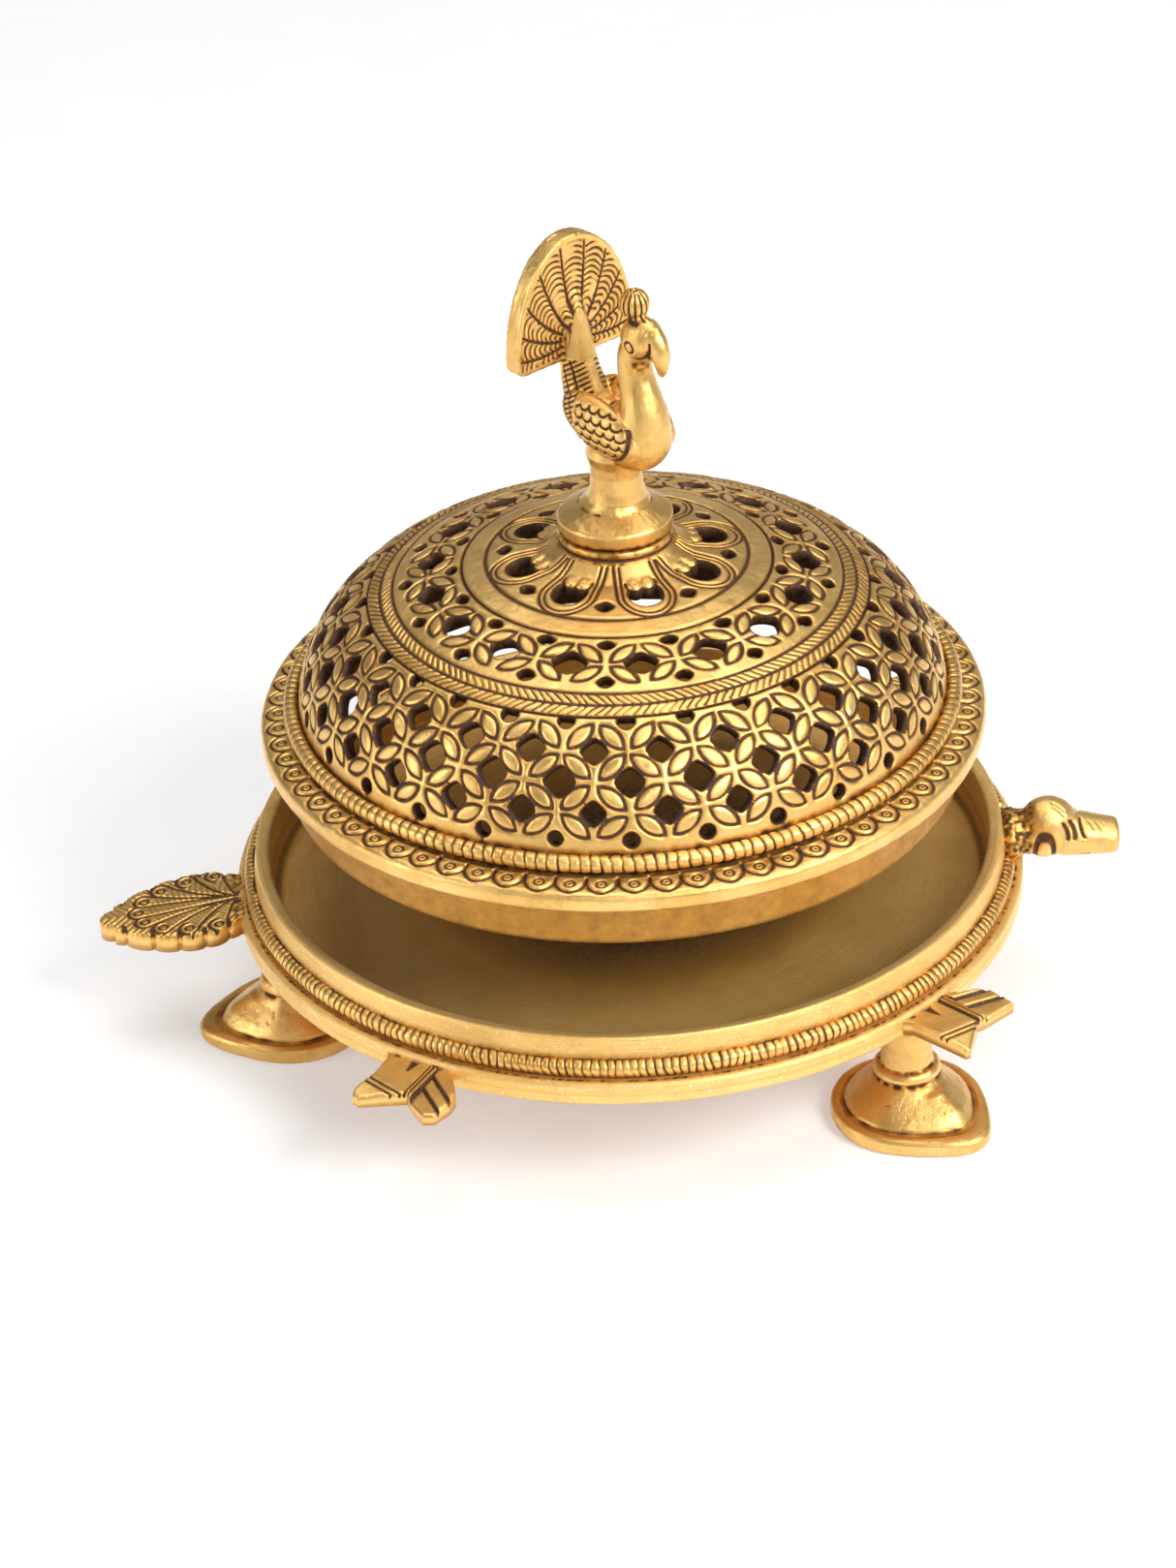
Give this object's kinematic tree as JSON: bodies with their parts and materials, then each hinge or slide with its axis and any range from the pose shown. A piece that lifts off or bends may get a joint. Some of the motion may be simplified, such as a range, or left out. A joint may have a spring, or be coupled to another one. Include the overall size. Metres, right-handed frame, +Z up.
{
  "type": "incense burner",
  "caption": "Round tortoise-shaped brass dish on feet with a loose pierced dome lid and peacock finial; incense burns in the dish and its smoke leaves through the lid.",
  "frame": {"origin": "on the table the feet stand on, midway along the overall length and breadth (the dish's axis is at x 4.4 mm, y -2.8 mm)", "axes": "+Z up, +X towards the tortoise's head, +Y to the tortoise's left"},
  "size_m": [0.2157, 0.1795, 0.1645],
  "materials": {
    "cast_brass": "antique gold, chased, dark patina in the recesses",
    "turned_brass": "satin, turned and hand polished",
    "steel": "plain threaded rod"
  },
  "bodies": {
    "dish": {"dish": "turned_brass", "dish_rope_ring": "cast_brass", "tortoise_head": "cast_brass", "tortoise_tail": "cast_brass", "flipper_front_right": "cast_brass", "flipper_rear_right": "cast_brass", "flipper_rear_left": "cast_brass", "flipper_front_left": "cast_brass", "foot_front": "cast_brass", "foot_rear": "cast_brass", "foot_left": "cast_brass", "foot_stud_front": "steel", "foot_stud_rear": "steel", "foot_stud_left": "steel"},
    "lid": {"lid_dome": "cast_brass", "lid_rope_ring": "cast_brass"},
    "finial": {"peacock_finial": "cast_brass", "finial_stud": "steel", "finial_washer": "cast_brass", "finial_nut": "cast_brass"}
  },
  "joints": [
    {"name": "lid_lift", "type": "slide", "parent": "dish", "child": "lid", "axis": [0, 0, 1], "range_m": [-0.0266, 0.06]},
    {"name": "finial_turn", "type": "hinge", "parent": "lid", "child": "finial", "pos_m": [0.0044, -0.0028, 0.107], "axis": [0, 0, 1], "continuous": true}
  ]
}
